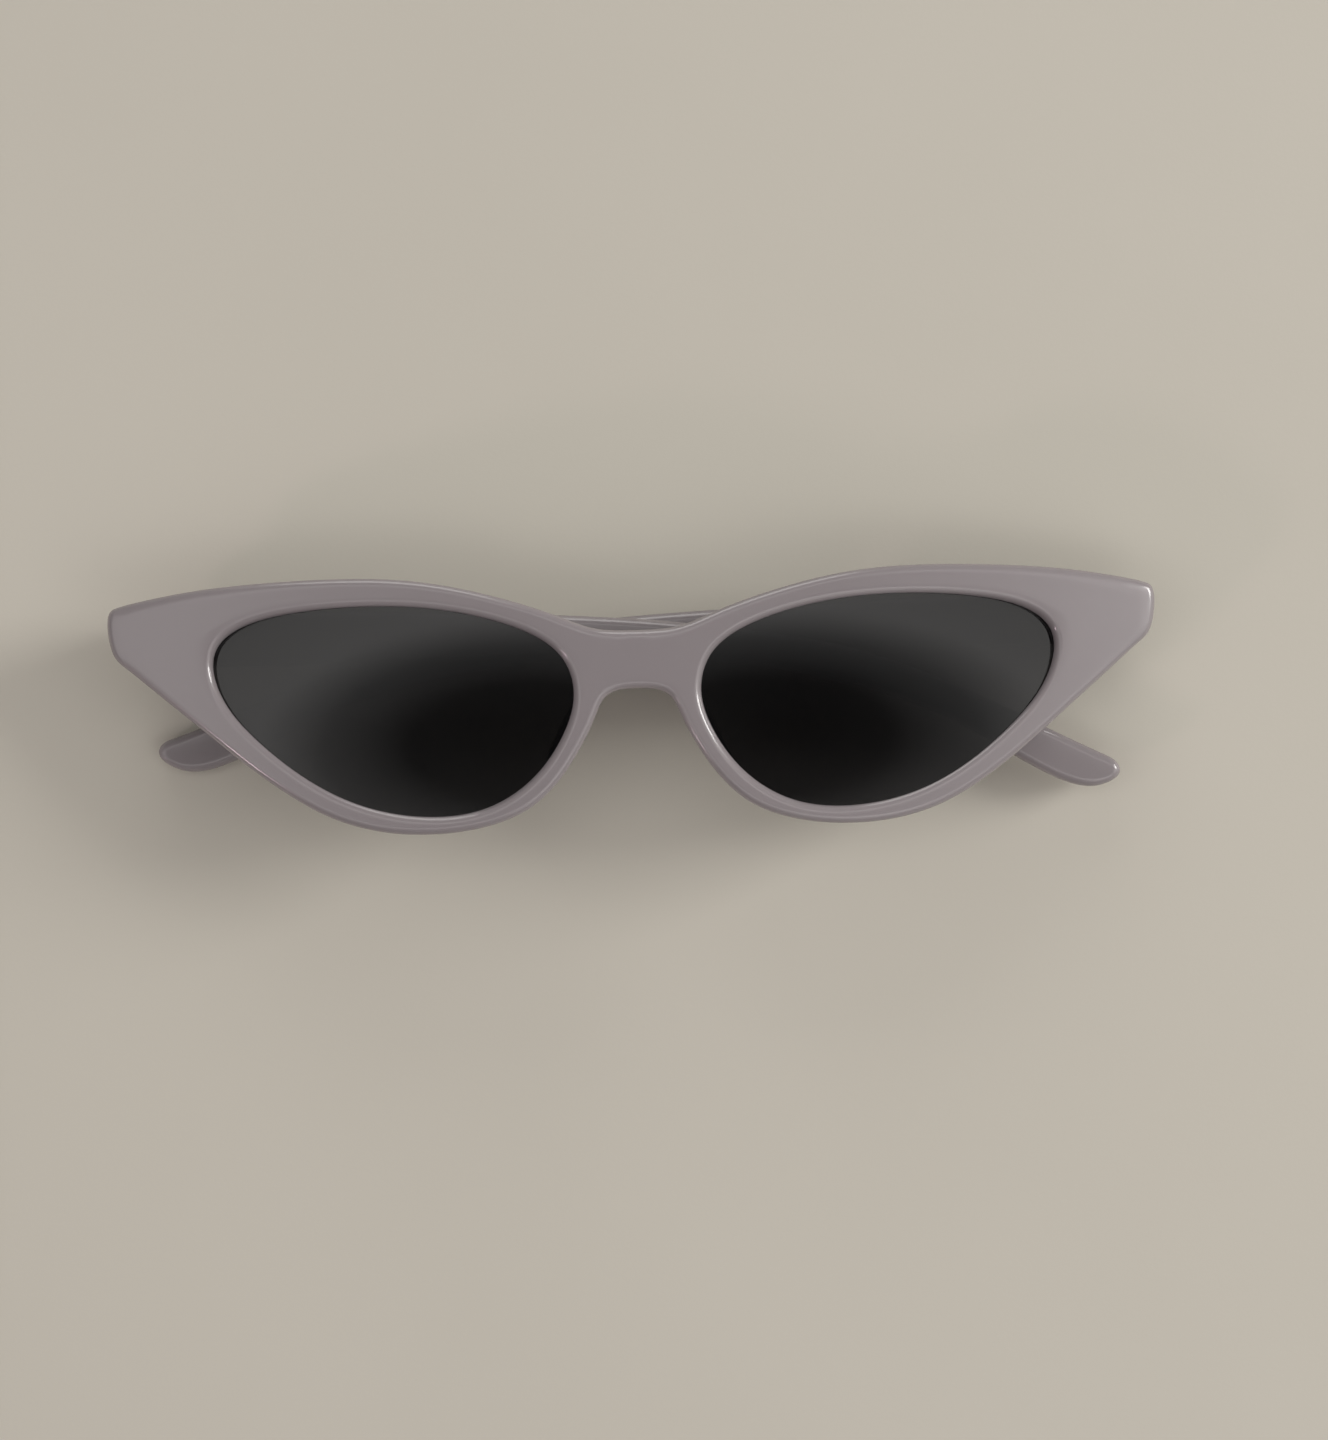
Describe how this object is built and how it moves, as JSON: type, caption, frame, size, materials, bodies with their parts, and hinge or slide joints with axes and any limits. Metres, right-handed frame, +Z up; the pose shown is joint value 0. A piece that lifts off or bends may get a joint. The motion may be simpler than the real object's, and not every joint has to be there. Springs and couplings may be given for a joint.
{
  "type": "cat eye sunglasses",
  "caption": "Narrow cat eye sunglasses with a one-piece moulded front, dark tinted lenses and two hinged temples, folded one over the other.",
  "frame": {"origin": "centre of the folded glasses' outline, on the table that the outer temple's flat face lies on", "axes": "+X towards the wearer's left end piece, +Y towards the brow, +Z up, out of the front's face"},
  "size_m": [0.1456, 0.0352, 0.0215],
  "materials": {
    "lilac_plastic": "polished",
    "smoke_lens": "polished, dark smoke tint",
    "hinge_metal": "satin",
    "screw_metal": "bright"
  },
  "bodies": {
    "front": {"front_frame": "lilac_plastic", "lens_left": "smoke_lens", "lens_right": "smoke_lens", "front_hinge_leaf_left": "hinge_metal", "front_hinge_leaf_right": "hinge_metal", "hinge_screw_left": "screw_metal", "hinge_screw_right": "screw_metal"},
    "left_temple": {"temple_left": "lilac_plastic", "temple_hinge_leaf_left": "hinge_metal"},
    "right_temple": {"temple_right": "lilac_plastic", "temple_hinge_leaf_right": "hinge_metal"}
  },
  "joints": [
    {"name": "left_temple_hinge", "type": "hinge", "parent": "front", "child": "left_temple", "pos_m": [0.06635, 0.01017, 0.005], "axis": [0, -1, 0], "range_deg": [0, 89.1]},
    {"name": "right_temple_hinge", "type": "hinge", "parent": "front", "child": "right_temple", "pos_m": [-0.06658, 0.01017, 0.00918], "axis": [0, 1, 0], "range_deg": [0, 92.3]}
  ]
}
